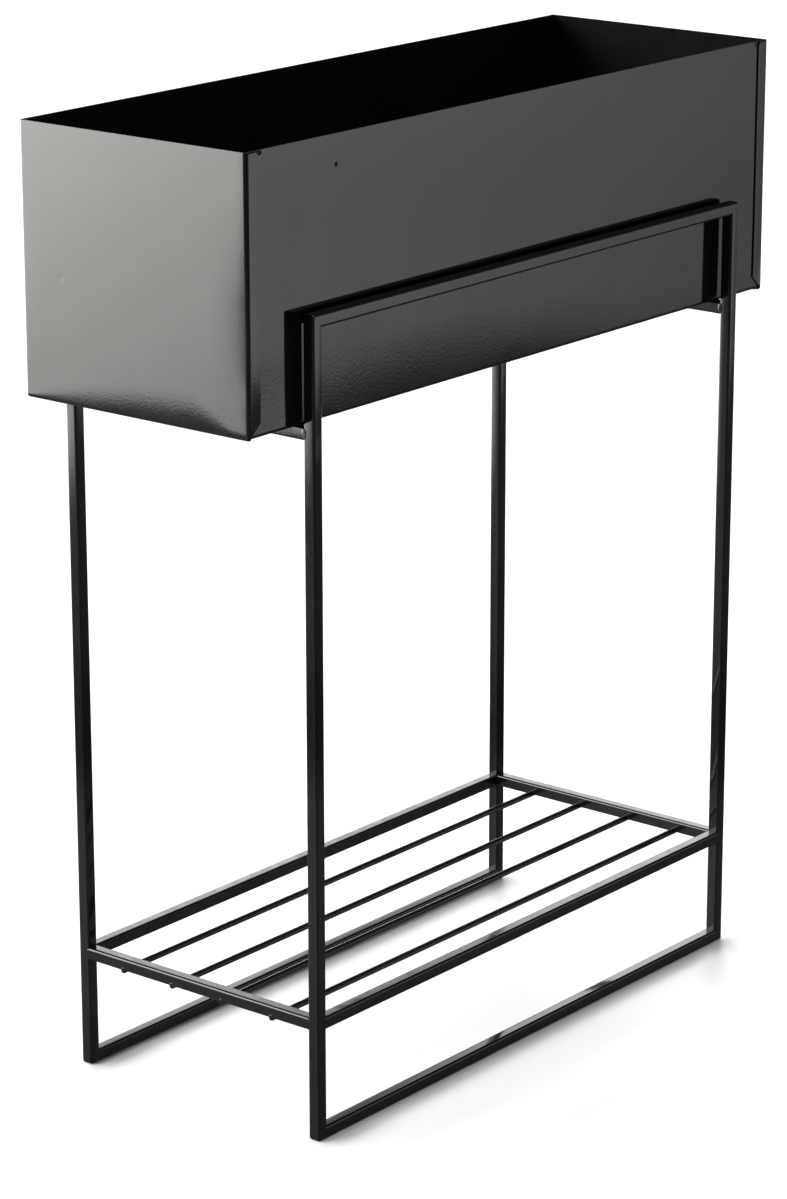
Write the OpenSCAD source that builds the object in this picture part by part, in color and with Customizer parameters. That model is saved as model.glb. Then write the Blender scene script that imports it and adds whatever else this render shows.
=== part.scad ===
// Raised planter: a folded sheet-steel trough that stands loose in a welded stand of square tube,
// with a shelf of round rods near the floor.
// +Z is up, +X runs along the trough and -Y is the front.
// The origin is on the floor, under the middle of the trough. All sizes are in millimetres.

/* [Trough] */
// Length over the two end caps
trough_length = 640; // [560:10:800]
// Width over the side flanges of the end caps
trough_width = 216; // [190:2:260]
// Height from the underside of the floor to the rim
trough_height = 204; // [150:2:240]
// Thickness of the sheet
sheet = 1; // [0.8:0.1:1.2]
// Outside radius of every fold in the sheet
fold_radius = 2.7; // [2:0.1:3.5]

/* [End caps] */
// Width of the flanges that lap over the body, from the outer face of the cap
flange_width = 13; // [10:0.5:20]
// Height of the slanting cut at the lower end of each side flange
flange_clip = 12; // [8:0.5:16]
// Size of the small cut at the upper end of each side flange
flange_notch = 2.5; // [1:0.5:4]
// Distance from the rim down to the upper end of the side flanges
flange_drop = 1; // [0.5:0.5:3]

/* [Stand] */
// Length of trough that hangs out past the legs at each end
overhang = 55; // [30:5:90]
// Gap between the trough and each of the two side frames
side_gap = 3; // [2:0.5:6]
// Height of the cross bars that the trough stands on
rest_height = 550; // [350:10:800]
// Height of the side frames above the cross bars
frame_rise = 82; // [40:2:120]
// Outside width of the square tube
tube = 10; // [10:0.5:12]
// Wall of the square tube
tube_wall = 1; // [0.8:0.1:1.2]
// Outside radius of the corners of the square tube
tube_corner = 1.75; // [1.3:0.05:2.5]

/* [Shelf] */
// Height of the top of the shelf frame
shelf_height = 98; // [60:2:200]
// Diameter of the shelf rods
rod_diameter = 5; // [4:0.5:6]
// Distance between neighbouring rods
rod_pitch = 50; // [35:1:52]
// Height of the middle of a rod above the underside of the shelf ends
rod_rise = 0.5; // [0:0.1:1.5]

/* [Welds] */
// Radius of the beads beside the rods
bead_radius = 1.2; // [0.8:0.1:1.6]
// Length of the beads beside the rods
bead_length = 7; // [4:0.5:9]

/* [Hidden] */

// Signs that pick one of a pair of mirrored pieces
left = -1;
right = 1;
front = -1;
back = 1;
both = [-1, 1];

// Powder coat on the stand, on the trough and over the weld beads
stand_coat = "#1d1d1f";
trough_coat = "#2b2a2a";
weld_coat = "#242426";

rod_count = 4;
// Clearance all round a rod in its seat, and a small length that makes a cut pass right through
seat_clearance = 0.05;
through = 1;
// Share of a corner radius that a groove weld fills, so that it ends just short of a feather edge
groove_share = 0.85;
round_fn = 64;

stand_length = trough_length - 2 * overhang;
stand_depth = trough_width + 2 * (side_gap + tube);
stand_height = rest_height + frame_rise;
// Centre lines of the legs along X and of the side frames along Y
leg_x = (stand_length - tube) / 2;
frame_y = (stand_depth - tube) / 2;
// Lengths of the tubes that butt against the legs
cross_length = stand_depth - 2 * tube;
rail_length = stand_length - 2 * tube;
// Height of the middle of the rods
rod_z = shelf_height - tube + rod_rise;

body_width = trough_width - 2 * sheet;
body_length = trough_length - 2 * fold_radius;
rim_z = rest_height + trough_height;
// Underside of the end caps, one sheet lower than the body
cap_z = rest_height - sheet;

function rod_y(i) = (i - (rod_count + 1) / 2) * rod_pitch;

// ---------------------------------------------------------------- square tube

module rounded_square(side, r) {
    square([side, side - 2 * r], center = true);
    square([side - 2 * r, side], center = true);
    for (x = both, y = both)
        translate([x, y] * (side / 2 - r))
            circle(r = r, $fn = round_fn);
}

// Hollow tube along X with square ends
module cut_tube(length) {
    rotate([90, 0, 90])
        linear_extrude(length, center = true)
            difference() {
                rounded_square(tube, tube_corner);
                rounded_square(tube - 2 * tube_wall, tube_corner - tube_wall);
            }
}

// Hollow tube along X with both ends mitred, its long side up
module mitred_tube(length) {
    intersection() {
        cut_tube(length);
        rotate([90, 0, 0])
            linear_extrude(2 * tube, center = true)
                polygon([
                    [-length / 2, tube / 2],
                    [length / 2, tube / 2],
                    [length / 2 - tube, -tube / 2],
                    [-length / 2 + tube, -tube / 2]
                ]);
    }
}

// ---------------------------------------------------------------- stand

module leg(end, face) {
    color(stand_coat)
        translate([end * leg_x, face * frame_y, stand_height / 2])
            rotate([0, end * 90, 0])
                mitred_tube(stand_height);
}

module top_rail(face) {
    color(stand_coat)
        translate([0, face * frame_y, stand_height - tube / 2])
            mitred_tube(stand_length);
}

module bottom_rail(face) {
    color(stand_coat)
        translate([0, face * frame_y, tube / 2])
            rotate([180, 0, 0])
                mitred_tube(stand_length);
}

module cross_bar(end) {
    color(stand_coat)
        translate([end * leg_x, 0, rest_height - tube / 2])
            rotate([0, 0, 90])
                cut_tube(cross_length);
}

module shelf_rail(face) {
    color(stand_coat)
        translate([0, face * frame_y, shelf_height - tube / 2])
            cut_tube(rail_length);
}

// Cross tube whose underside has a round seat for each rod
module shelf_end(end) {
    color(stand_coat)
        difference() {
            translate([end * leg_x, 0, shelf_height - tube / 2])
                rotate([0, 0, 90])
                    cut_tube(cross_length);
            for (i = [1:rod_count])
                translate([end * leg_x, rod_y(i), rod_z])
                    rotate([0, 90, 0])
                        cylinder(h = tube + 2 * through, r = rod_diameter / 2 + seat_clearance,
                                 center = true, $fn = round_fn);
        }
}

module shelf_rod(i) {
    color(stand_coat)
        translate([0, rod_y(i), rod_z])
            rotate([0, 90, 0])
                cylinder(h = stand_length, d = rod_diameter, center = true, $fn = round_fn);
}

// ---------------------------------------------------------------- welds

// Flush beads that fill the grooves where a tube, coming from -X, butts against a leg at x = 0:
// they lie between the end of the tube and the rounded corners of the leg
module groove_welds(sides) {
    for (side = sides)
        linear_extrude(tube - 2 * tube_corner, center = true)
            difference() {
                translate([0, side * (tube - tube_corner) / 2])
                    translate([groove_share * tube_corner / 2, 0])
                        square([groove_share * tube_corner, tube_corner], center = true);
                translate([tube_corner, side * (tube / 2 - tube_corner)])
                    circle(r = tube_corner, $fn = round_fn);
            }
}

// Grooves at both ends of the left and right tubes that cross from frame to frame, topped at z
module cross_tube_welds(z) {
    for (end = both, face = both)
        translate([end * leg_x, face * cross_length / 2, z - tube / 2])
            rotate([0, 0, face * 90])
                groove_welds(both);
}

module cross_bar_welds() {
    color(weld_coat)
        cross_tube_welds(rest_height);
}

module shelf_end_welds() {
    color(weld_coat)
        cross_tube_welds(shelf_height);
}

// Only the outer grooves of the shelf rails: the welds of the shelf ends fill the inner corners
module shelf_rail_welds() {
    color(weld_coat)
        for (end = both, face = both)
            translate([end * rail_length / 2, face * frame_y, shelf_height - tube / 2])
                rotate([0, 0, 90 - end * 90])
                    groove_welds([end * face]);
}

// Small beads on both sides of each rod, under the shelf ends
module rod_welds() {
    // Distance from the middle of a rod to where its surface meets the underside
    half_chord = sqrt(pow(rod_diameter / 2, 2) - pow(rod_rise, 2));
    color(weld_coat)
        for (end = both, i = [1:rod_count], side = both)
            translate([end * leg_x, rod_y(i), rod_z])
                rotate([90, 0, 90])
                    linear_extrude(bead_length, center = true)
                        difference() {
                            intersection() {
                                translate([side * half_chord, -rod_rise])
                                    circle(r = bead_radius, $fn = round_fn);
                                translate([side * half_chord, -rod_rise - bead_radius])
                                    square(2 * bead_radius, center = true);
                            }
                            circle(r = rod_diameter / 2 + seat_clearance, $fn = round_fn);
                        }
}

// ---------------------------------------------------------------- trough

// Upright rectangle on y = 0 with its two lower corners rounded
module tray_section(width, height, r) {
    translate([-width / 2, r])
        square([width, height - r]);
    translate([r - width / 2, 0])
        square([width - 2 * r, r]);
    for (side = both)
        translate([side * (width / 2 - r), r])
            circle(r = r, $fn = round_fn);
}

// Front, floor and back, folded from one sheet
module trough_body() {
    color(trough_coat)
        translate([0, 0, rest_height])
            rotate([90, 0, 90])
                linear_extrude(body_length, center = true)
                    difference() {
                        tray_section(body_width, trough_height, fold_radius);
                        translate([0, sheet])
                            tray_section(body_width - 2 * sheet, trough_height, fold_radius - sheet);
                    }
}

// Quarter ring in the quadrant of +X and +Y: the section of one fold
module fold_section() {
    intersection() {
        difference() {
            circle(r = fold_radius, $fn = round_fn);
            circle(r = fold_radius - sheet, $fn = round_fn);
        }
        square(fold_radius);
    }
}

// Side flange and its fold, for the side at +Y
module cap_side(panel_y, panel_z) {
    flange_x = trough_length / 2 - fold_radius;
    flange_top = rim_z - flange_drop;
    translate([flange_x, panel_y, panel_z])
        linear_extrude(rim_z - panel_z)
            fold_section();
    translate([0, trough_width / 2, 0])
        rotate([90, 0, 0])
            linear_extrude(sheet)
                polygon([
                    [flange_x, panel_z],
                    [flange_x, flange_top],
                    [trough_length / 2 - flange_width + flange_notch, flange_top],
                    [trough_length / 2 - flange_width, flange_top - flange_notch],
                    [trough_length / 2 - flange_width, cap_z + flange_clip]
                ]);
}

// End cap at the right end: a panel with a fold and a flange along its foot and both its sides
module cap() {
    panel_y = trough_width / 2 - fold_radius;
    panel_z = cap_z + fold_radius;
    fold_x = trough_length / 2 - fold_radius;
    translate([trough_length / 2 - sheet, -panel_y, panel_z])
        cube([sheet, 2 * panel_y, rim_z - panel_z]);
    cap_side(panel_y, panel_z);
    mirror([0, 1, 0])
        cap_side(panel_y, panel_z);
    // Fold and flange along the foot
    translate([fold_x, 0, panel_z])
        rotate([-90, 0, 0])
            linear_extrude(2 * panel_y, center = true)
                fold_section();
    translate([0, 0, cap_z])
        linear_extrude(sheet)
            polygon([
                [fold_x, -panel_y],
                [fold_x, panel_y],
                [trough_length / 2 - flange_width, panel_y - flange_width + fold_radius],
                [trough_length / 2 - flange_width, -panel_y + flange_width - fold_radius]
            ]);
    // Rounded corners between the folds
    for (side = both)
        translate([fold_x, side * panel_y, panel_z])
            rotate([0, 90, 0])
                rotate([0, 0, side * 45 - 45])
                    rotate_extrude(angle = 90, $fn = round_fn)
                        fold_section();
}

module end_cap(end) {
    color(trough_coat)
        if (end == right)
            cap();
        else
            mirror([1, 0, 0])
                cap();
}

leg(left, front);  // leg_front_left
leg(right, front);  // leg_front_right
leg(left, back);  // leg_back_left
leg(right, back);  // leg_back_right
top_rail(front);  // top_rail_front
top_rail(back);  // top_rail_back
bottom_rail(front);  // bottom_rail_front
bottom_rail(back);  // bottom_rail_back
cross_bar(left);  // cross_bar_left
cross_bar(right);  // cross_bar_right
shelf_end(left);  // shelf_end_left
shelf_end(right);  // shelf_end_right
shelf_rail(front);  // shelf_rail_front
shelf_rail(back);  // shelf_rail_back
shelf_rod(1);  // shelf_rod_1
shelf_rod(2);  // shelf_rod_2
shelf_rod(3);  // shelf_rod_3
shelf_rod(4);  // shelf_rod_4
cross_bar_welds();
shelf_end_welds();
shelf_rail_welds();
rod_welds();
trough_body();
end_cap(left);  // end_cap_left
end_cap(right);  // end_cap_right
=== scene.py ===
import math

import bmesh
import bpy
from mathutils import Matrix, Vector, noise


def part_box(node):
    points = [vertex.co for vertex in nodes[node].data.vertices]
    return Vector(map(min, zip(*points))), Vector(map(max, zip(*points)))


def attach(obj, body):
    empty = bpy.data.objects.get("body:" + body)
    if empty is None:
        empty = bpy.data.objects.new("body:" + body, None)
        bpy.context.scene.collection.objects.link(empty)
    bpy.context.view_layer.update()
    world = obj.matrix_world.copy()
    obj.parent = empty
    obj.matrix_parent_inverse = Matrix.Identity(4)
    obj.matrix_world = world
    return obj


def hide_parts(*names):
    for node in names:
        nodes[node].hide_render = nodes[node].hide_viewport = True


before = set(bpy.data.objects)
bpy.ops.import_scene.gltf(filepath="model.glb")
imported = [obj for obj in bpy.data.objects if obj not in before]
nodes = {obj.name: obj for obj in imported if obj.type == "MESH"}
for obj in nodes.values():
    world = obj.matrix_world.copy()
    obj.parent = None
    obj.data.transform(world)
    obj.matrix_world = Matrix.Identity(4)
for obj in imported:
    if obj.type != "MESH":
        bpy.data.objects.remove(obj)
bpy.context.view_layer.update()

MM = 0.001

# Sizes of the steel, in metres, as in the CAD source
SHEET = 1.0 * MM
FOLD_RADIUS = 2.7 * MM
FLANGE_CLIP = 12.0 * MM
FLANGE_NOTCH = 2.5 * MM
FLANGE_DROP = 1.0 * MM
TUBE_WALL = 1.0 * MM
TUBE_CORNER = 1.75 * MM
# Rise of a tube's faces towards their middles: on the legs, and on the level tubes
LEG_CROWN = 0.05 * MM
RAIL_CROWN = 0.012 * MM
# Radius of the ground outer corners of the two frames
MITRE_CORNER = 1.9 * MM
# Radius that the powder coat gives to every cut edge
COAT_EDGE = 0.28 * MM
# Base colour of the black coat
BLACK = 0.0036
# Steps in a fold of the sheet, in a long edge of a tube, and in half a ground corner of the frames
FOLD_STEPS = 8
CORNER_STEPS = 7
MITRE_STEPS = 7
# Longest stretch between sections of a tube
TUBE_PITCH = 45.0 * MM
# Part of a tube's side, at each corner, that its welds leave free
WELD_MARGIN = 0.6 * TUBE_CORNER
RODS = 4

# Directions
UP = Vector((0, 0, 1))
RIGHT = Vector((1, 0, 0))
BACK = Vector((0, 1, 0))


# ------------------------------------------------------------------ small helpers

def smooth(t):
    """Smooth step from 0 to 1."""
    t = min(1.0, max(0.0, t))
    return t * t * (3.0 - 2.0 * t)


def hump(value, centre, half):
    """1 at the centre, falling smoothly to 0 at centre +- half."""
    return smooth(1.0 - abs(value - centre) / half)


def ease_in(distance, reach):
    """1 at distance 0, falling as a parabola to 0 at reach."""
    t = min(1.0, max(0.0, 1.0 - distance / reach))
    return t * t


def lean_in(distance, start, full):
    """Depth of a wall that starts to lean at distance start and leans by one in one below distance full."""
    t = min(1.0, max(0.0, (start - distance) / (start - full)))
    return (start - full) * t * t * t * (1.0 - 0.5 * t) + max(0.0, full - distance)


def wave(p, size, seed):
    """Smooth random number from -1 to 1 that changes over a length of about size."""
    return noise.noise(Vector((p[0] / size + seed, p[1] / size - seed, p[2] / size + 0.5 * seed)))


def stations(low, high, pitch, fine=()):
    """Positions from low to high, about pitch apart, with extra ones at the fine distances from both ends."""
    count = max(1, round((high - low) / pitch))
    out = {low + (high - low) * i / count for i in range(count + 1)}
    for d in fine:
        out |= {low + d, high - d}
    out = sorted(out)
    keep = [out[0]]
    for v in out[1:]:
        if v - keep[-1] > 0.05 * MM:
            keep.append(v)
    return keep


def new_object(name, bm):
    """Smooth object made from a mesh under construction."""
    mesh = bpy.data.meshes.new(name)
    bm.to_mesh(mesh)
    bm.free()
    for face in mesh.polygons:
        face.use_smooth = True
    obj = bpy.data.objects.new(name, mesh)
    bpy.context.scene.collection.objects.link(obj)
    return obj


def apply_modifiers(obj):
    """Replaces the mesh of an object by the one that its modifiers make."""
    graph = bpy.context.evaluated_depsgraph_get()
    mesh = bpy.data.meshes.new_from_object(obj.evaluated_get(graph))
    obj.modifiers.clear()
    old = obj.data
    obj.data = mesh
    bpy.data.meshes.remove(old)
    mesh.name = obj.name
    for face in mesh.polygons:
        face.use_smooth = True


def grid(bm, rows):
    """Quads between neighbouring rows of points."""
    verts = [[bm.verts.new(p) for p in row] for row in rows]
    for a, b in zip(verts, verts[1:]):
        for i in range(len(a) - 1):
            bm.faces.new((a[i], a[i + 1], b[i + 1], b[i]))


def finish_piece(obj, body, slot, material, *replaced):
    """Gives a piece its material, its body and the nodes that it stands for. slot is not used."""
    obj.data.materials.clear()
    obj.data.materials.append(material)
    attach(obj, body)
    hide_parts(*replaced)


# ------------------------------------------------------------------ node helpers

class Graph:
    """Short calls for building one node tree."""

    def __init__(self, tree):
        self.tree = tree
        tree.nodes.clear()

    def add(self, kind, inputs=None, **props):
        """New node, with values or links for its inputs."""
        node = self.tree.nodes.new(kind)
        for name, value in props.items():
            setattr(node, name, value)
        for key, value in (inputs or {}).items():
            self.put(node.inputs[key], value)
        return node

    def put(self, socket, value):
        if isinstance(value, bpy.types.NodeSocket):
            self.tree.links.new(value, socket)
        elif value is not None:
            socket.default_value = value

    def math(self, op, a, b=None, c=None):
        node = self.tree.nodes.new("ShaderNodeMath")
        node.operation = op
        for i, v in enumerate((a, b, c)):
            if v is not None:
                self.put(node.inputs[i], v)
        return node.outputs[0]

    def step(self, value, low, high, to_low=0.0, to_high=1.0, curve="SMOOTHSTEP"):
        """Ramp of value from to_low at low to to_high at high."""
        node = self.add("ShaderNodeMapRange", {
            "Value": value, "From Min": low, "From Max": high, "To Min": to_low, "To Max": to_high,
        }, interpolation_type=curve)
        return node.outputs[0]

    def plus(self, base, mask, amount):
        """base, with amount added where mask is 1."""
        return self.math("MULTIPLY_ADD", mask, amount, base)

    def combine(self, op, values):
        """One value from a list, by repeating op."""
        out = values[0]
        for value in values[1:]:
            out = self.math(op, out, value)
        return out

    def vector(self, op, a, b):
        """Outputs of an operation on two vectors."""
        return self.add("ShaderNodeVectorMath", {0: a, 1: b}, operation=op).outputs

    def dot(self, a, b):
        return self.vector("DOT_PRODUCT", a, b)["Value"]

    def distance(self, a, b):
        return self.vector("DISTANCE", a, b)["Value"]

    def noise(self, coord, scale, detail=2.0, rough=0.5):
        node = self.add("ShaderNodeTexNoise", {
            "Vector": coord, "Scale": scale, "Detail": detail, "Roughness": rough})
        return node.outputs[0]


# ------------------------------------------------------------------ materials

def crater_mask(g, coord, pits):
    """Small craters, in patches that spread with pits."""
    crater = g.step(g.noise(coord, 900.0, 0.0), 0.64, 0.80)
    return g.math("MULTIPLY", crater, g.step(g.noise(coord, 35.0, 1.0), 0.62 - pits, 0.70 - pits))


def spatter_mask(g, coord, levels):
    """Patches round the heights of the welds."""
    if not levels:
        return 0.0
    z = g.add("ShaderNodeSeparateXYZ", {0: coord}).outputs[2]
    near = g.combine("MAXIMUM", [
        g.step(g.math("ABSOLUTE", g.math("SUBTRACT", z, level)), 10 * MM, 34 * MM, 1.0, 0.0)
        for level in levels])
    return g.math("MULTIPLY", near, g.step(g.noise(coord, 70.0, 1.0), 0.35, 0.55))


def inner_mask(g, coord, normal, middle):
    """Faces that look towards the middle of a hollow."""
    if middle is None:
        return 0.0
    centred = g.vector("SUBTRACT", coord, middle)[0]
    return g.step(g.dot(centred, normal), 4 * MM, -4 * MM)


def chip_mask(g, coord, inside, chips):
    """Small chips with ragged outlines, on the outside only."""
    if not chips:
        return 0.0
    found = []
    for place, size in chips:
        ragged = g.plus(g.distance(coord, place), g.noise(coord, 900.0, 1.0), -0.9 * size)
        found.append(g.step(ragged, 0.15 * size, 0.45 * size, 1.0, 0.0))
    return g.math("MULTIPLY", g.combine("MAXIMUM", found), g.math("SUBTRACT", 1.0, inside))


def dust_mask(g, coord, normal):
    """Uneven dust on faces that look up."""
    up = g.add("ShaderNodeSeparateXYZ", {0: normal}).outputs[2]
    return g.math("MULTIPLY", g.step(up, 0.5, 0.95), g.noise(coord, 60.0, 4.0, 0.7))


def edge_mask(g, normal):
    """Edges, found by comparing the rounded normal with the true one."""
    rounded = g.add("ShaderNodeBevel", {"Radius": 0.6 * MM}, samples=4).outputs[0]
    return g.step(g.dot(rounded, normal), 0.97, 0.80)


def powder_coat(name, rough, peel, peel_size, pits=0.0, dust=0.5, hollow=None, joints=(), chips=(), dents=()):
    """Black powder coat. peel and peel_size are the height and width of its orange peel in metres,
    pits the spread of small craters, dust the amount of dust on top faces.
    hollow is the middle of a box whose inner faces are grimier and slightly duller. joints are the heights
    at which weld spatter roughens the coat. chips are places where the coat has a small chip, with its
    size, and dents places where the sheet has a small dent, with its radius and depth."""
    mat = bpy.data.materials.new(name)
    mat.use_nodes = True
    g = Graph(mat.node_tree)
    coord = g.add("ShaderNodeTexCoord").outputs["Object"]
    normal = g.add("ShaderNodeNewGeometry").outputs["Normal"]
    crater = crater_mask(g, coord, pits)
    spatter = spatter_mask(g, coord, joints)
    inside = inner_mask(g, coord, normal, hollow)
    chipped = chip_mask(g, coord, inside, chips)
    dusty = dust_mask(g, coord, normal)
    edge = edge_mask(g, normal)

    # Relief in units of peel: orange peel in two sizes, over a slow wave of the film's thickness
    height = g.noise(coord, 1.0 / peel_size, 1.0, 0.4)
    height = g.plus(height, g.noise(coord, 2.6 / peel_size, 1.0, 0.4), 0.3)
    height = g.plus(height, g.noise(coord, 22.0, 1.0, 0.4), 1.5)
    height = g.plus(height, crater, -1.1)
    grains = g.step(g.noise(coord, 1100.0, 1.0, 0.5), 0.44, 0.70)
    height = g.plus(height, g.math("MULTIPLY", spatter, grains), 1.6)
    height = g.plus(height, chipped, -14.0)
    for place, radius, deep in dents:
        height = g.plus(height, g.step(g.distance(coord, place), 0.0, radius, 1.0, 0.0), -deep / peel)
    bump = g.add("ShaderNodeBump", {"Height": height, "Distance": peel, "Strength": 1.0})

    # Cloudy black with dust, a thinner coat on the edges, a few pale specks and grime on the inner faces
    tone = g.step(g.noise(coord, 14.0, 3.0, 0.55), 0.3, 0.7, 0.85 * BLACK, 1.15 * BLACK)
    tone = g.plus(tone, dusty, 0.006 * dust)
    tone = g.plus(tone, edge, 0.5 * BLACK)
    tone = g.plus(tone, g.step(g.noise(coord, 1400.0, 0.0), 0.80, 0.84), 0.02)
    tone = g.plus(tone, inside, g.step(g.noise(coord, 20.0, 4.0, 0.6), 0.3, 0.7, 0.0030, 0.0055))
    colour = g.add("ShaderNodeCombineColor", {
        0: tone, 1: g.math("MULTIPLY", tone, 0.99), 2: g.math("MULTIPLY", tone, 0.985)})

    # Gloss varies with handling smears and drops wherever the coat is disturbed
    gloss = g.step(g.noise(coord, 9.0, 5.0, 0.65), 0.35, 0.75, rough * 0.9, rough * 1.3)
    gloss = g.plus(gloss, dusty, 0.05 * dust)
    gloss = g.plus(gloss, edge, 0.03)
    gloss = g.plus(gloss, crater, 0.10)
    gloss = g.plus(gloss, spatter, 0.06)
    gloss = g.plus(gloss, chipped, 0.45)
    gloss = g.plus(gloss, inside, 0.03)

    bsdf = g.add("ShaderNodeBsdfPrincipled", {
        "Base Color": colour.outputs[0], "Roughness": gloss, "IOR": 1.5, "Normal": bump.outputs[0]})
    g.add("ShaderNodeOutputMaterial", {"Surface": bsdf.outputs[0]})
    return mat


# ------------------------------------------------------------------ studio

def build_camera():
    """At the height, side and distance that a fit to the straight edges of the object gives."""
    cam = bpy.data.cameras.new("camera")
    obj = bpy.data.objects.new("camera", cam)
    bpy.context.scene.collection.objects.link(obj)
    cam.lens = 121.08
    cam.sensor_width = 36.0
    cam.clip_end = 50.0
    place = Vector((-2.3823, -1.9059, 1.2601))
    aim = Vector((-0.01265, 0.01075, 0.33980))
    turn = (aim - place).to_track_quat("-Z", "Y").to_matrix().to_4x4()
    roll = Matrix.Rotation(math.radians(-0.07), 4, "Z")
    obj.matrix_world = Matrix.Translation(place) @ turn @ roll
    bpy.context.scene.camera = obj


class Sky(Graph):
    """Levels of light as functions of direction, with all angles in degrees."""

    def __init__(self, tree):
        super().__init__(tree)
        coord = self.add("ShaderNodeTexCoord").outputs["Generated"]
        x, y, z = self.add("ShaderNodeSeparateXYZ", {0: coord}).outputs
        self.elevation = self.math("DEGREES", self.math("ARCSINE", z))
        self.azimuth = self.math("DEGREES", self.math("ARCTAN2", y, x))

    def turned(self, centre):
        """Signed degrees of azimuth from a heading."""
        return self.math("WRAP", self.math("SUBTRACT", self.azimuth, centre), 180.0, -180.0)

    def across(self, centre, low, high, to_low, to_high, curve="SMOOTHSTEP"):
        """Ramp in azimuth, from low to high degrees past a heading."""
        return self.step(self.turned(centre), low, high, to_low, to_high, curve)

    def climb(self, low, high, to_low=0.0, to_high=1.0, curve="SMOOTHSTEP"):
        """Ramp in elevation."""
        return self.step(self.elevation, low, high, to_low, to_high, curve)

    def window(self, centre, half, soft):
        """1 within half of a heading, with a soft edge."""
        return self.step(self.math("ABSOLUTE", self.turned(centre)), half - soft, half + soft, 1.0, 0.0)

    def band(self, low, low_soft, high, high_soft):
        """1 between two elevations, with soft edges."""
        lower = self.climb(low - low_soft, low + low_soft)
        return self.math("MULTIPLY", lower, self.climb(high - high_soft, high + high_soft, 1.0, 0.0))

    def light(self, level, tint=(1.0, 1.0, 1.0)):
        colour = self.add("ShaderNodeVectorMath", {0: tint}, operation="SCALE")
        self.put(colour.inputs["Scale"], level)
        return colour.outputs[0]

    def product(self, *factors):
        return self.combine("MULTIPLY", factors)


def key_lights(sky):
    """Big softbox at the left and back, strongest towards the back and at the top."""
    low = sky.product(
        sky.window(116.0, 42.0, 9.0), sky.band(-14.85, 0.6, 3.0, 5.0),
        sky.climb(-16.0, -9.0, 0.38, 1.15, "LINEAR"), sky.across(137.3, -5.0, 5.0, 1.16, 0.64, "LINEAR"),
        sky.across(139.0, 0.0, 7.0, 1.0, 0.02), 8.4)
    high = sky.product(sky.window(112.0, 47.0, 10.0), sky.band(3.0, 5.0, 36.0, 6.0), 10.8)
    return [sky.light(low, (1.0, 1.0, 0.965)), sky.light(high)]


def fill_lights(sky):
    """Weaker card at the right and front, whose lower edge hangs a little askew."""
    hang = sky.across(-37.5, -3.5, 3.5, 0.55, 0.0, "LINEAR")
    lower_edge = sky.step(sky.math("ADD", sky.elevation, hang), -13.75, -12.85)
    card = sky.product(
        sky.window(-50.0, 32.0, 8.0), lower_edge, sky.climb(-5.0, 3.0, 1.0, 0.12),
        sky.across(-37.1, -5.0, 5.0, 1.49, 0.46, "LINEAR"), sky.climb(-11.2, -9.0, 1.0, 1.2),
        sky.across(-46.5, -4.0, 3.0, 0.04, 1.0))
    return [sky.light(card, (1.0, 0.985, 0.93))]


def back_lights(sky):
    """Backdrop behind the object, a soft light overhead and a small lamp between them."""
    low = sky.product(sky.window(48.0, 36.0, 9.0), sky.band(-14.5, 1.0, 2.0, 5.0), 2.4)
    # A strip that only faces looking up can mirror; its part below a slanting line has no dark place
    dip = sky.math("ADD", sky.across(39.6, -4.2, 0.4, 3.1, 0.5), sky.across(39.6, 0.0, 1.8, 0.0, 1.9))
    uneven = sky.math("MULTIPLY", dip, sky.across(41.0, 0.0, 3.0, 1.0, 0.5))
    slope = sky.math("MULTIPLY_ADD", sky.turned(34.4), -0.444, sky.elevation)
    strip = sky.math("MAXIMUM", uneven, sky.step(slope, 18.0, 19.5, 3.3, 0.0))
    high = sky.product(sky.window(36.0, 44.0, 12.0), sky.band(15.5, 2.0, 25.0, 2.0), strip)
    top = sky.product(sky.climb(58.0, 68.0), 2.2)
    # The lamp shows in the shadows on the floor only
    lamp = sky.product(sky.window(43.0, 6.0, 3.0), sky.band(43.0, 2.0, 58.0, 4.0), 16.0)
    return [sky.light(level) for level in (high, low, top, lamp)]


def table_lights(sky):
    """What the gloss sees of the table below, with the dark line of the table's far edge."""
    far_edge = sky.math("ADD", sky.climb(-19.75, -19.1, 1.0, 0.28), sky.climb(-18.4, -17.1, 0.0, 0.42))
    near_part = sky.climb(-23.6, -21.6, 0.62, 1.0)
    left_half = sky.step(sky.math("ABSOLUTE", sky.turned(125.0)), 40.0, 70.0, 0.68, 0.22)
    right_part = sky.across(-37.5, -3.0, 3.0, 1.0, 0.72)
    level = sky.product(sky.climb(-14.0, -12.0, 1.0, 0.5), far_edge, near_part, left_half, right_part)
    return [sky.light(level)]


def build_world():
    """Soft studio light that the object and the floor see. The camera sees plain white."""
    world = bpy.data.worlds.new("studio")
    bpy.context.scene.world = world
    world.use_nodes = True
    sky = Sky(world.node_tree)
    lights = key_lights(sky) + fill_lights(sky) + back_lights(sky) + table_lights(sky)
    total = lights[0]
    for light in lights[1:]:
        total = sky.vector("ADD", total, light)[0]
    lit = sky.add("ShaderNodeBackground", {"Color": total, "Strength": 1.0})
    plain = sky.add("ShaderNodeBackground", {"Color": (1, 1, 1, 1), "Strength": 1.0})
    path = sky.add("ShaderNodeLightPath")
    mix = sky.add("ShaderNodeMixShader", {
        0: path.outputs["Is Camera Ray"], 1: lit.outputs[0], 2: plain.outputs[0]})
    sky.add("ShaderNodeOutputWorld", {"Surface": mix.outputs[0]})


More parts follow.
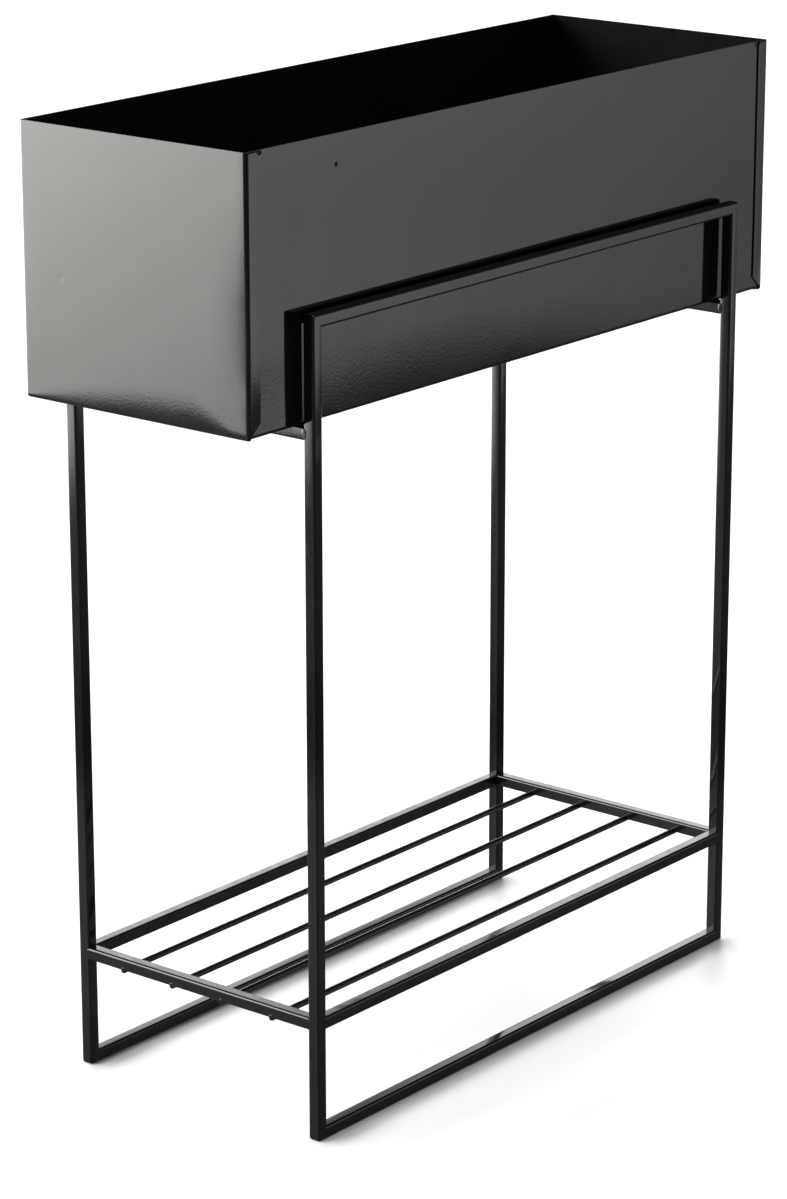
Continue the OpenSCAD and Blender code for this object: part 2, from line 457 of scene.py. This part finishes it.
def build_floor():
    """Plain pale sheet, six metres to each side."""
    reach = 6.0
    mesh = bpy.data.meshes.new("floor")
    corners = [(-reach, -reach, 0), (reach, -reach, 0), (reach, reach, 0), (-reach, reach, 0)]
    mesh.from_pydata(corners, [], [(0, 1, 2, 3)])
    floor = bpy.data.objects.new("floor", mesh)
    bpy.context.scene.collection.objects.link(floor)
    mat = bpy.data.materials.new("floor_white")
    mat.use_nodes = True
    g = Graph(mat.node_tree)
    bsdf = g.add("ShaderNodeBsdfPrincipled", {"Base Color": (0.83, 0.83, 0.83, 1), "Roughness": 0.35})
    g.add("ShaderNodeOutputMaterial", {"Surface": bsdf.outputs[0]})
    mesh.materials.append(mat)
    # The gloss of the object reflects the studio, not this sheet
    floor.visible_glossy = False


# ------------------------------------------------------------------ trough

def thicken(obj, width):
    """Gives an outer skin the thickness of the sheet and rounds its cut edges."""
    solid = obj.modifiers.new("sheet", "SOLIDIFY")
    solid.thickness = width
    solid.offset = -1.0
    solid.use_even_offset = True
    bevel = obj.modifiers.new("coat_edge", "BEVEL")
    bevel.width = COAT_EDGE
    bevel.segments = 2
    bevel.limit_method = "ANGLE"
    bevel.angle_limit = math.radians(50.0)
    bevel.harden_normals = True
    apply_modifiers(obj)


def orient(bm, direction):
    """Makes the faces agree with each other, and the one that lies furthest along direction face that way."""
    bmesh.ops.remove_doubles(bm, verts=bm.verts[:], dist=0.002 * MM)
    bmesh.ops.recalc_face_normals(bm, faces=bm.faces[:])
    bm.normal_update()
    first = max(bm.faces, key=lambda f: f.calc_center_median().dot(direction) + f.calc_area())
    if first.normal.dot(direction) < 0:
        bmesh.ops.reverse_faces(bm, faces=bm.faces[:])


def sheet_wave(p):
    """Faint unevenness of rolled sheet, always inwards."""
    return 0.045 * MM * (0.5 + 0.5 * wave(p, 0.11, 3.7)) + 0.012 * MM * (0.5 + 0.5 * wave(p, 0.035, 9.1))


def build_trough_body(material):
    """One sheet bent into a U: the front wall, the floor and the back wall."""
    lo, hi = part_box("trough_body")
    half = hi.y
    wall_foot = lo.z + FOLD_RADIUS
    floor_side = half - FOLD_RADIUS

    def wall_bow(x, z, side):
        """How far a wall lies inside its plane. The front wall leans in towards its fold, less at its left
        end, where it flares out again; the back wall draws in just above its fold."""
        up = z - wall_foot
        if side > 0:
            return 0.07 * MM * ease_in(up, 24 * MM)
        from_left = min(1.0, max(0.0, (x + 0.262) / 0.235))
        lean = 0.0072 * from_left * (2.0 - from_left) - 0.0013 * smooth((x - 0.06) / 0.09)
        depth = lean * lean_in(up, 54 * MM, 38 * MM)
        depth += 0.012 * MM * hump(x, -0.01, 0.10) * ease_in(up, 16 * MM)
        return depth - 0.24 * MM * smooth((-0.245 - x) / 0.03) * ease_in(up, 40 * MM)

    def relief(x, z):
        """Shallow groove under the rim behind each flange's top, deeper at the flange's notch."""
        from_end = hi.x - abs(x)
        drop = hi.z - z
        line = smooth((14 * MM - from_end) / (1 * MM)) * hump(drop, 1.15 * MM, 0.85 * MM)
        notch = hump(from_end, 12 * MM, 3 * MM) * hump(drop, 2.2 * MM, 1.6 * MM)
        return 0.55 * MM * max(line, notch)

    def fold(side):
        """Points of the fold between a side wall and the floor, from the wall down."""
        points = []
        for i in range(1, FOLD_STEPS):
            a = math.radians(90 * i / FOLD_STEPS)
            n = Vector((0, side * math.cos(a), -math.sin(a)))
            points.append((side * floor_side + n.y * FOLD_RADIUS, wall_foot + n.z * FOLD_RADIUS, n))
        return points

    # Section from the front rim over the floor to the back rim: place and outward normal
    rim_steps = (0.3 * MM, 0.7 * MM, 1.15 * MM, 1.6 * MM, 2.0 * MM, 2.6 * MM, 3.2 * MM, 4 * MM)
    heights = stations(wall_foot, hi.z, 6 * MM, rim_steps)
    widths = stations(-floor_side, floor_side, 9 * MM, (0.3 * MM, 1 * MM, 3 * MM))
    section = [(-half, z, -BACK) for z in reversed(heights)] + fold(-1)
    section += [(y, lo.z, -UP) for y in widths]
    section += fold(1)[::-1] + [(half, z, BACK) for z in heights]

    # Close steps at the ends, where the grooves lie
    end_steps = (1 * MM, 4 * MM, 10 * MM, 11 * MM, 12 * MM, 13 * MM, 14 * MM, 15 * MM)
    bm = bmesh.new()
    rows = []
    for x in stations(lo.x, hi.x, 9 * MM, end_steps):
        row = []
        for y, z, n in section:
            p = Vector((x, y, z))
            side = n.y
            depth = abs(side) * wall_bow(x, max(z, wall_foot), side) if abs(side) > 0.01 else 0.0
            # The end caps hold the sheet straight, and so do the bars under the floor
            free = smooth((hi.x - abs(x)) / (40 * MM)) if n.z > -0.99 else 0.0
            depth += free * sheet_wave(p)
            if abs(side) > 0.99:
                depth += relief(x, z)
            row.append(p - n * depth)
        rows.append(row)
    grid(bm, rows)
    orient(bm, -UP)
    obj = new_object("trough_sheet", bm)
    thicken(obj, SHEET)
    finish_piece(obj, "trough", "trough_coat", material, "trough_body")


def cap_bow(y, z, foot, side_edge):
    """How far the end panel lies inside its plane, by the folds that frame it."""
    # It leans in towards its foot, over a height that shrinks towards both sides
    along = (y + side_edge) / (2 * side_edge)
    peak = 0.36
    reach = (5.2 + 23.8 * smooth((along - 0.04) / 0.22)) * MM
    if along > peak:
        reach = 29.0 * MM * (1.0 - min(1.0, (along - peak) / (0.99 - peak)) ** 1.5)
    slope = 0.0205
    depth = 0.5 * slope * reach * ease_in(z - foot, max(reach, 0.1 * MM))
    # It draws in beside its front fold, not quite evenly, and a little beside the back one
    panel_height = 202 * MM
    height = (z - foot) / panel_height
    depth += 0.46 * MM * hump(height, 0.38, 0.50) * ease_in(y + side_edge, 34 * MM)
    depth += 0.08 * MM * hump(height, 0.5, 0.5) * ease_in(side_edge - y, 20 * MM)
    depth += 0.10 * MM * (0.5 + 0.5 * wave((0, 0, z), 0.022, 2.0)) * ease_in(y + side_edge, 7 * MM)
    return depth


def build_cap(node, end, name, material):
    """One end cap: a panel with a fold and a flange along its foot and both sides. end is -1 or 1."""
    lo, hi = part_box(node)
    outer = hi.x if end > 0 else -lo.x
    free_edge = lo.x if end > 0 else -hi.x
    fold_x = outer - FOLD_RADIUS
    side_y = hi.y - FOLD_RADIUS
    foot = lo.z + FOLD_RADIUS
    flange_top = hi.z - FLANGE_DROP
    pitch = 2.6 * MM
    columns = stations(-side_y, side_y, pitch, (0.3 * MM, 1 * MM))
    rows_z = stations(foot, hi.z, pitch, (0.3 * MM, FLANGE_DROP, 1.6 * MM, 2.2 * MM, 3.3 * MM, 4.2 * MM))
    arc = [math.radians(90 * i / FOLD_STEPS) for i in range(FOLD_STEPS + 1)]
    reach = fold_x - free_edge
    slant = (lo.z + FLANGE_CLIP - foot) / reach

    def panel(y, z):
        """How far the panel lies inside its plane, with the waves of the sheet away from its edges."""
        inside = min(side_y - abs(y), z - foot, hi.z - z)
        return cap_bow(y, z, foot, side_y) + smooth(inside / (30 * MM)) * sheet_wave((end * 0.5, y, z))

    def side_fold(side):
        """Fold between the panel and a side flange."""
        rows = []
        for z in rows_z:
            bend = FOLD_RADIUS - panel(side * side_y, z)
            rows.append([(fold_x + bend * math.cos(a), side * (side_y + FOLD_RADIUS * math.sin(a)), z)
                         for a in arc])
        return rows

    def flange(side):
        """Side flange with its slanting foot and the small cut at its top."""
        lifts = [z for z in rows_z if z <= flange_top + 0.01 * MM]
        strip = []
        for s in stations(0.0, reach, 1.7 * MM, (FLANGE_NOTCH, 0.3 * MM)):
            low = foot + slant * s
            top = flange_top - max(0.0, FLANGE_NOTCH - (reach - s))
            # The flange stands off the body a little towards its free edge
            stand_off = 0.10 * MM * (1.0 - (1.0 - s / reach) ** 2)
            line = []
            for z in lifts:
                share = (z - foot) / (flange_top - foot)
                # It draws in near its foot, and its surface is slightly hammered
                draw = 0.22 * MM * ease_in(z - foot, 40 * MM) * smooth(s / (3 * MM))
                beat = 0.03 * MM * wave((s, side, z), 0.016, 6.0) * smooth(s / (3 * MM))
                line.append((fold_x - s, side * (hi.y + stand_off - draw + beat), low + (top - low) * share))
            strip.append(line)
        return strip

    def corner(side):
        """Rounded corner between a side fold and the fold along the foot."""
        bend = FOLD_RADIUS - panel(side * side_y, foot)
        return [[(fold_x + bend * math.cos(b) * math.cos(a),
                  side * (side_y + FOLD_RADIUS * math.cos(b) * math.sin(a)),
                  foot - FOLD_RADIUS * math.sin(b)) for a in arc] for b in arc]

    bm = bmesh.new()
    grid(bm, [[(outer - panel(y, z), y, z) for y in columns] for z in rows_z])
    for side in (-1, 1):
        grid(bm, side_fold(side))
        grid(bm, flange(side))
        grid(bm, corner(side))
    # Fold along the foot, and the flange under the floor, which narrows towards its free edge
    grid(bm, [[(fold_x + (FOLD_RADIUS - panel(y, foot)) * math.cos(a), y, foot - FOLD_RADIUS * math.sin(a))
               for y in columns] for a in arc])
    grid(bm, [[(fold_x - s, y * (side_y - s) / side_y, lo.z) for y in columns]
              for s in stations(0.0, reach, pitch)])
    for v in bm.verts:
        v.co.x *= end
    orient(bm, RIGHT * end)
    obj = new_object(name, bm)
    thicken(obj, SHEET)
    finish_piece(obj, "trough", "trough_coat", material, node)


# ------------------------------------------------------------------ stand

def square_ring(side, radius, crown=0.0):
    """Rounded square round the origin. Its flats rise by crown towards their middles."""
    half = side / 2
    c = half - radius
    # Shares of half a flat at which its points lie
    flat = [-0.94, -0.75, -0.5, -0.25, 0.0, 0.25, 0.5, 0.75, 0.94]
    tilt = math.atan(2 * crown / c)
    points = []
    for q in range(4):
        turn = math.radians(90 * q)
        line = [(half - crown * f * f, c * f) for f in flat]
        for i in range(CORNER_STEPS + 1):
            a = tilt + (math.pi / 2 - 2 * tilt) * i / CORNER_STEPS
            line.append((c + (radius - crown) * math.cos(a) / math.cos(tilt),
                         c + (radius - crown) * math.sin(a) / math.cos(tilt)))
        for u, v in line:
            points.append((u * math.cos(turn) - v * math.sin(turn), u * math.sin(turn) + v * math.cos(turn)))
    return points


def tube_from_rings(outer, inner):
    """Closed tube whose wall lies between two lists of rings."""
    bm = bmesh.new()
    verts = [[bm.verts.new(p) for p in row] for row in outer + inner[::-1]]
    count = len(verts[0])
    for a, b in zip(verts, verts[1:] + verts[:1]):
        for i in range(count):
            j = (i + 1) % count
            bm.faces.new((a[i], a[j], b[j], b[i]))
    bmesh.ops.recalc_face_normals(bm, faces=bm.faces[:])
    return bm


def build_cut_tube(node, along, name, material, twist=0.0):
    """Tube with square ends that butts against two legs, turned about its axis by twist."""
    lo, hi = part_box(node)
    centre = (lo + hi) / 2
    across = along.cross(UP)
    length = abs((hi - lo).dot(along))
    side = hi.z - lo.z
    places = stations(-length / 2, length / 2, TUBE_PITCH, (0.3 * MM,))

    def skin(profile):
        return [[centre + along * t + UP * (u - twist * v) + across * (v + twist * u) for u, v in profile]
                for t in places]

    bm = tube_from_rings(skin(square_ring(side, TUBE_CORNER, RAIL_CROWN)),
                         skin(square_ring(side - 2 * TUBE_WALL, TUBE_CORNER - TUBE_WALL)))
    finish_piece(new_object(name, bm), "stand", "stand_coat", material, node)


def build_frame_tube(node, along, outward, name, material):
    """Tube of a frame, mitred at both ends, whose outer corners are ground round.
    along is the direction of the tube, outward the direction away from the middle of the frame."""
    lo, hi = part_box(node)
    centre = (lo + hi) / 2
    across = along.cross(outward)
    length = abs((hi - lo).dot(along))
    side = abs((hi - lo).dot(across))
    half = side / 2

    def ring(profile, end, k):
        """Section k of the ground corner at an end: 0 lies in the mitre, the last where it runs straight."""
        out = []
        for u, v in profile:
            depth = half - u
            if depth < MITRE_CORNER:
                a = math.radians(45.0 * (1 - k / MITRE_STEPS))
                rest = MITRE_CORNER - depth
                back, depth = MITRE_CORNER - rest * math.sin(a), MITRE_CORNER - rest * math.cos(a)
            else:
                back = depth + 0.02 * MM * k
            t = end * (length / 2 - back)
            out.append(centre + along * t + outward * (half - depth) + across * v)
        return out

    def straight(profile, t):
        return [centre + along * t + outward * u + across * v for u, v in profile]

    reach = length / 2 - side - 1 * MM
    middle = stations(-reach, reach, TUBE_PITCH)

    def skin(profile):
        rings = [ring(profile, -1, k) for k in range(MITRE_STEPS + 1)]
        rings += [straight(profile, t) for t in middle]
        rings += [ring(profile, 1, MITRE_STEPS - k) for k in range(MITRE_STEPS + 1)]
        return rings

    crown = LEG_CROWN if abs(along.z) > 0.5 else RAIL_CROWN
    bm = tube_from_rings(skin(square_ring(side, TUBE_CORNER, crown)),
                         skin(square_ring(side - 2 * TUBE_WALL, TUBE_CORNER - TUBE_WALL)))
    finish_piece(new_object(name, bm), "stand", "stand_coat", material, node)


def build_rod(node, name, material):
    """Drawn round rod with chamfered ends."""
    lo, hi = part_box(node)
    centre = (lo + hi) / 2
    radius = (hi.z - lo.z) / 2
    chamfer = 0.35 * MM
    segments = 40
    # Outline of one end, with a soft chamfer: place along the rod and radius
    shape = [
        (lo.x, radius - chamfer - 1.2 * MM), (lo.x, radius - chamfer - 0.1 * MM), (lo.x, radius - chamfer),
        (lo.x + 0.1 * MM, radius - 0.12 * MM), (lo.x + chamfer, radius),
        (lo.x + chamfer + 0.15 * MM, radius)]
    straight = [(x, radius) for x in stations(lo.x + 6 * MM, hi.x - 6 * MM, 30 * MM)]
    far = [(lo.x + hi.x - x, r) for x, r in reversed(shape)]
    bm = bmesh.new()
    rings = []
    for x, r in shape + straight + far:
        # Drawn rod is never quite straight
        sag = 0.12 * MM * math.sin(math.pi * (x - lo.x) / (hi.x - lo.x)) * wave((x, centre.y, 0), 0.15, 5.0)
        rings.append([bm.verts.new((x, centre.y + sag + r * math.cos(a), centre.z + r * math.sin(a)))
                      for a in (2 * math.pi * i / segments for i in range(segments))])
    for a, b in zip(rings, rings[1:]):
        for i in range(segments):
            j = (i + 1) % segments
            bm.faces.new((a[i], b[i], b[j], a[j]))
    bm.faces.new(rings[0])
    bm.faces.new(rings[-1][::-1])
    bmesh.ops.recalc_face_normals(bm, faces=bm.faces[:])
    obj = new_object(name, bm)
    finish_piece(obj, "stand", "rod_coat", material, node)


def blob(bm, centre, axes, seed, lump):
    """Closed lumpy bead: a ball stretched to three half axes, with its surface stirred by noise."""
    made = bmesh.ops.create_icosphere(bm, subdivisions=4, radius=1.0)
    for v in made["verts"]:
        n = v.co.normalized()
        p = Vector((n.x * axes[0].length, n.y * axes[1].length, n.z * axes[2].length))
        swell = 1.0 + lump * wave(p, 1.3 * MM, seed) + 0.4 * lump * wave(p, 0.5 * MM, seed + 4)
        v.co = centre + (axes[0] * n.x + axes[1] * n.y + axes[2] * n.z) * swell


def groove_pad(bm, corner, out, along, up, height, seed, proud, grain):
    """Ground weld over the groove between a leg and a tube that butts against it.
    corner is the middle of the seam on the flush outer faces, out their normal, along runs from the leg to
    the tube. proud is the rise of its crown from its buried edge, grain the height of its tool marks."""
    cols, rows = 22, 30
    low, high = -3.1 * MM, 2.2 * MM
    edge_sink, root_sink = 0.10 * MM, 0.75 * MM
    layers = []
    for buried in (False, True):
        layer = []
        for j in range(rows + 1):
            v = -1.0 + 2.0 * j / rows
            line = []
            for i in range(cols + 1):
                u = low + (high - low) * i / cols
                # Irregular outline, and a crown that the grinder left
                wob = 0.5 * MM * wave((u, v * height, seed), 2.2 * MM, seed)
                mid = -0.6 * MM + wob
                half_width = 2.6 * MM * math.sqrt(1.0 - 0.8 * v * v)
                side_fall = smooth((1.0 - abs(u - mid) / half_width) / 0.5)
                end_fall = smooth((1.0 - abs(v)) / 0.16)
                crown = proud * side_fall * end_fall
                rough = grain * wave((u, v * height, 0), 0.7 * MM, seed + 2) * side_fall
                lift = -root_sink if buried else crown + rough - edge_sink
                line.append(corner + along * u + up * (v * height) + out * lift)
            layer.append(line)
        layers.append(layer)
    ids = [[[bm.verts.new(p) for p in line] for line in layer] for layer in layers]
    top, bottom = ids
    for j in range(rows):
        for i in range(cols):
            bm.faces.new((top[j][i], top[j][i + 1], top[j + 1][i + 1], top[j + 1][i]))
            bm.faces.new((bottom[j][i], bottom[j + 1][i], bottom[j + 1][i + 1], bottom[j][i + 1]))
    for j in range(rows):
        bm.faces.new((top[j][0], top[j + 1][0], bottom[j + 1][0], bottom[j][0]))
        bm.faces.new((top[j][cols], bottom[j][cols], bottom[j + 1][cols], top[j + 1][cols]))
    for i in range(cols):
        bm.faces.new((top[0][i], bottom[0][i], bottom[0][i + 1], top[0][i + 1]))
        bm.faces.new((top[rows][i], top[rows][i + 1], bottom[rows][i + 1], bottom[rows][i]))


def build_cross_welds(node, bar_nodes, name, material, fillets, proud, grain):
    """Ground welds where the tubes from frame to frame meet the legs, with fillets on the sides that face
    the middle of the stand if fillets is true."""
    bm = bmesh.new()
    seed = 1.0
    for bar in bar_nodes:
        lo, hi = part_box(bar)
        middle = (lo + hi) / 2
        height = (hi.z - lo.z) / 2 - WELD_MARGIN
        for face in (-1, 1):
            seam_y = hi.y if face > 0 else lo.y
            for out in (-1, 1):
                seed += 1.7
                x = hi.x if out > 0 else lo.x
                if fillets and out * middle.x < 0:
                    # The corner inside the shelf frame holds a fillet instead
                    blob(bm, Vector((x - out * 0.1 * MM, seam_y + face * 0.2 * MM, middle.z)),
                         (RIGHT * 1.1 * MM, BACK * 1.1 * MM, UP * height), seed, 0.22)
                    continue
                groove_pad(bm, Vector((x, seam_y, middle.z)), RIGHT * out, BACK * -face, UP, height, seed,
                           proud, grain)
    bmesh.ops.recalc_face_normals(bm, faces=bm.faces[:])
    finish_piece(new_object(name, bm), "stand", "weld_coat", material, node)


def build_rail_welds(node, material):
    """Ground welds where the long shelf rails meet the legs."""
    bm = bmesh.new()
    seed = 31.0
    for rail in ("shelf_rail_front", "shelf_rail_back"):
        lo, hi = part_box(rail)
        middle = (lo + hi) / 2
        height = (hi.z - lo.z) / 2 - WELD_MARGIN
        out = 1 if middle.y > 0 else -1
        y = hi.y if out > 0 else lo.y
        for end in (-1, 1):
            seed += 1.7
            x = hi.x if end > 0 else lo.x
            groove_pad(bm, Vector((x, y, middle.z)), BACK * out, RIGHT * -end, UP, height, seed,
                       0.09 * MM, 0.008 * MM)
    bmesh.ops.recalc_face_normals(bm, faces=bm.faces[:])
    finish_piece(new_object("shelf_rail_seams", bm), "stand", "weld_coat", material, node)


def build_rod_welds(node, material):
    """A small bead on both sides of each rod, under each shelf end."""
    bm = bmesh.new()
    seed = 57.0
    for bar in ("shelf_end_left", "shelf_end_right"):
        lo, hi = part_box(bar)
        x = (lo.x + hi.x) / 2
        for i in range(1, RODS + 1):
            rlo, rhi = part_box("shelf_rod_%d" % i)
            radius = (rhi.z - rlo.z) / 2
            for side in (-1, 1):
                seed += 1.3
                y = (rlo.y + rhi.y) / 2 + side * (radius + 0.15 * MM)
                blob(bm, Vector((x + 0.4 * MM * wave((x, y, 0), 0.01, seed), y, lo.z - 0.1 * MM)),
                     (RIGHT * 3.4 * MM, BACK * 1.0 * MM, UP * 0.95 * MM), seed, 0.25)
    finish_piece(new_object("rod_beads", bm), "stand", "weld_coat", material, node)


# ------------------------------------------------------------------ assembly

build_camera()
build_world()
build_floor()

# Weld spatter lies round the heights of the cross bars and of the shelf
joint_heights = [sum(v.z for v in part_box(name)) / 2 for name in ("cross_bar_left", "shelf_end_left")]
stand_mat = powder_coat("stand_gloss_black", 0.055, 5.0e-6, 1.5 * MM, pits=0.02, joints=joint_heights)
rod_mat = powder_coat("rod_gloss_black", 0.085, 5.0e-6, 1.3 * MM)
weld_mat = powder_coat("weld_black", 0.10, 8.0e-6, 0.9 * MM, pits=0.1, joints=joint_heights)
ground_mat = powder_coat("ground_weld_black", 0.065, 5.0e-6, 1.2 * MM, pits=0.05)

trough_lo, trough_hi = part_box("trough_body")
end_x, face_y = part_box("end_cap_left")[0].x, trough_lo.y
# The chip in the front face: place and size
chips = [((-0.222, face_y, 0.732), 2.3 * MM)]
# Small dents and lumps of the left end, in millimetres: y, z, radius and depth
dents = [((end_x, y * MM, z * MM), radius * MM, deep * MM) for y, z, radius, deep in (
    (70.0, 643.0, 4.5, 0.045), (74.0, 640.5, 2.0, -0.012), (8.0, 652.0, 2.5, 0.012),
    (-44.0, 690.0, 3.0, 0.012), (88.0, 664.0, 2.0, 0.014), (92.0, 687.0, 2.0, 0.010),
    (64.0, 590.0, 5.0, 0.014), (70.0, 597.0, 2.2, 0.010), (-18.0, 742.0, 3.0, 0.010),
    (-14.0, 566.0, 2.2, 0.006), (-68.0, 725.0, 6.0, 0.010))]
trough_mat = powder_coat("trough_gloss_black", 0.06, 11.0e-6, 1.8 * MM, dust=0.6,
                         hollow=(trough_lo + trough_hi) / 2, chips=chips, dents=dents)

build_trough_body(trough_mat)
build_cap("end_cap_left", -1, "end_panel_left", trough_mat)
build_cap("end_cap_right", 1, "end_panel_right", trough_mat)

for face in ("front", "back"):
    build_frame_tube("leg_%s_left" % face, UP, -RIGHT, "leg_%s_left_tube" % face, stand_mat)
    build_frame_tube("leg_%s_right" % face, UP, RIGHT, "leg_%s_right_tube" % face, stand_mat)
    build_frame_tube("top_rail_" + face, RIGHT, UP, "top_rail_%s_tube" % face, stand_mat)
    build_frame_tube("bottom_rail_" + face, RIGHT, -UP, "bottom_rail_%s_tube" % face, stand_mat)
for i in range(1, RODS + 1):
    build_rod("shelf_rod_%d" % i, "shelf_bar_%d" % i, rod_mat)
build_cross_welds("cross_bar_welds", ("cross_bar_left", "cross_bar_right"), "cross_bar_seams", weld_mat,
                  fillets=False, proud=0.30 * MM, grain=0.016 * MM)
build_cross_welds("shelf_end_welds", ("shelf_end_left", "shelf_end_right"), "shelf_end_seams", ground_mat,
                  fillets=True, proud=0.12 * MM, grain=0.010 * MM)
build_rail_welds("shelf_rail_welds", ground_mat)
build_rod_welds("rod_welds", weld_mat)

for side in ("left", "right"):
    build_cut_tube("cross_bar_" + side, BACK, "cross_bar_%s_tube" % side, stand_mat, twist=-0.0018)
for face in ("front", "back"):
    build_cut_tube("shelf_rail_" + face, RIGHT, "shelf_rail_%s_tube" % face, stand_mat)
# The notched shelf ends keep the shape of the CAD
for name in ("shelf_end_left", "shelf_end_right"):
    nodes[name].data.materials.clear()
    nodes[name].data.materials.append(stand_mat)

view = bpy.context.scene.view_settings
view.view_transform = "Standard"
view.look = "None"
